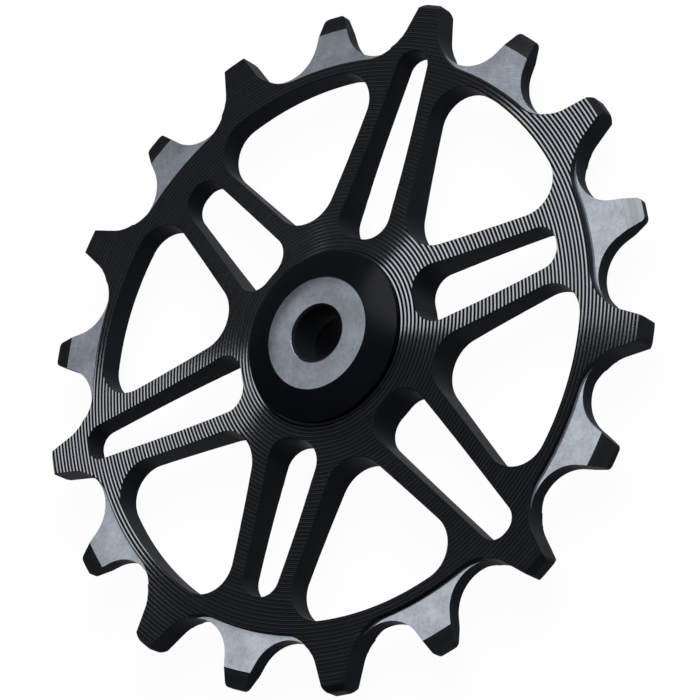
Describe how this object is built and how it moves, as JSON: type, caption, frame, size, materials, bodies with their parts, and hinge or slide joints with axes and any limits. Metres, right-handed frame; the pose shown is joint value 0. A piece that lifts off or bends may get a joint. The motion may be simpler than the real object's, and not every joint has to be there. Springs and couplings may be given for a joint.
{
  "type": "derailleur jockey wheel",
  "caption": "Black spoked derailleur jockey wheel with wide and narrow teeth in turn, running on a sealed ball bearing between two coned end caps.",
  "frame": {"origin": "centre of the wheel, on the axle's axis, midway between the two end faces", "axes": "+Z along the axle towards the front cap, +X through a wide tooth"},
  "size_m": [0.0772, 0.0766, 0.0084],
  "materials": {
    "anodised_wheel": "black anodised over turned grooves",
    "anodised_cap": "gloss black anodised, bare end face",
    "bearing_steel": "ground",
    "ceramic_ball": "polished",
    "retainer_nylon": "moulded",
    "seal_rubber": "moulded"
  },
  "bodies": {
    "axle": {"front_end_cap": "anodised_cap", "rear_end_cap": "anodised_cap", "bearing_inner_race": "bearing_steel"},
    "wheel": {"toothed_wheel": "anodised_wheel", "bearing_outer_race": "bearing_steel", "front_seal": "seal_rubber", "rear_seal": "seal_rubber"},
    "ball_cage": {"ball_retainer": "retainer_nylon", "ball_1": "ceramic_ball", "ball_2": "ceramic_ball", "ball_3": "ceramic_ball", "ball_4": "ceramic_ball", "ball_5": "ceramic_ball", "ball_6": "ceramic_ball", "ball_7": "ceramic_ball", "ball_8": "ceramic_ball", "ball_9": "ceramic_ball"}
  },
  "joints": [
    {"name": "wheel_spin", "type": "hinge", "parent": "axle", "child": "wheel", "pos_m": [0, 0, 0], "axis": [0, 0, 1], "continuous": true},
    {"name": "cage_orbit", "type": "hinge", "parent": "axle", "child": "ball_cage", "pos_m": [0, 0, 0], "axis": [0, 0, 1], "continuous": true}
  ],
  "couplings": [
    {"joint": "cage_orbit", "follows": "wheel_spin", "ratio": 0.58333}
  ]
}
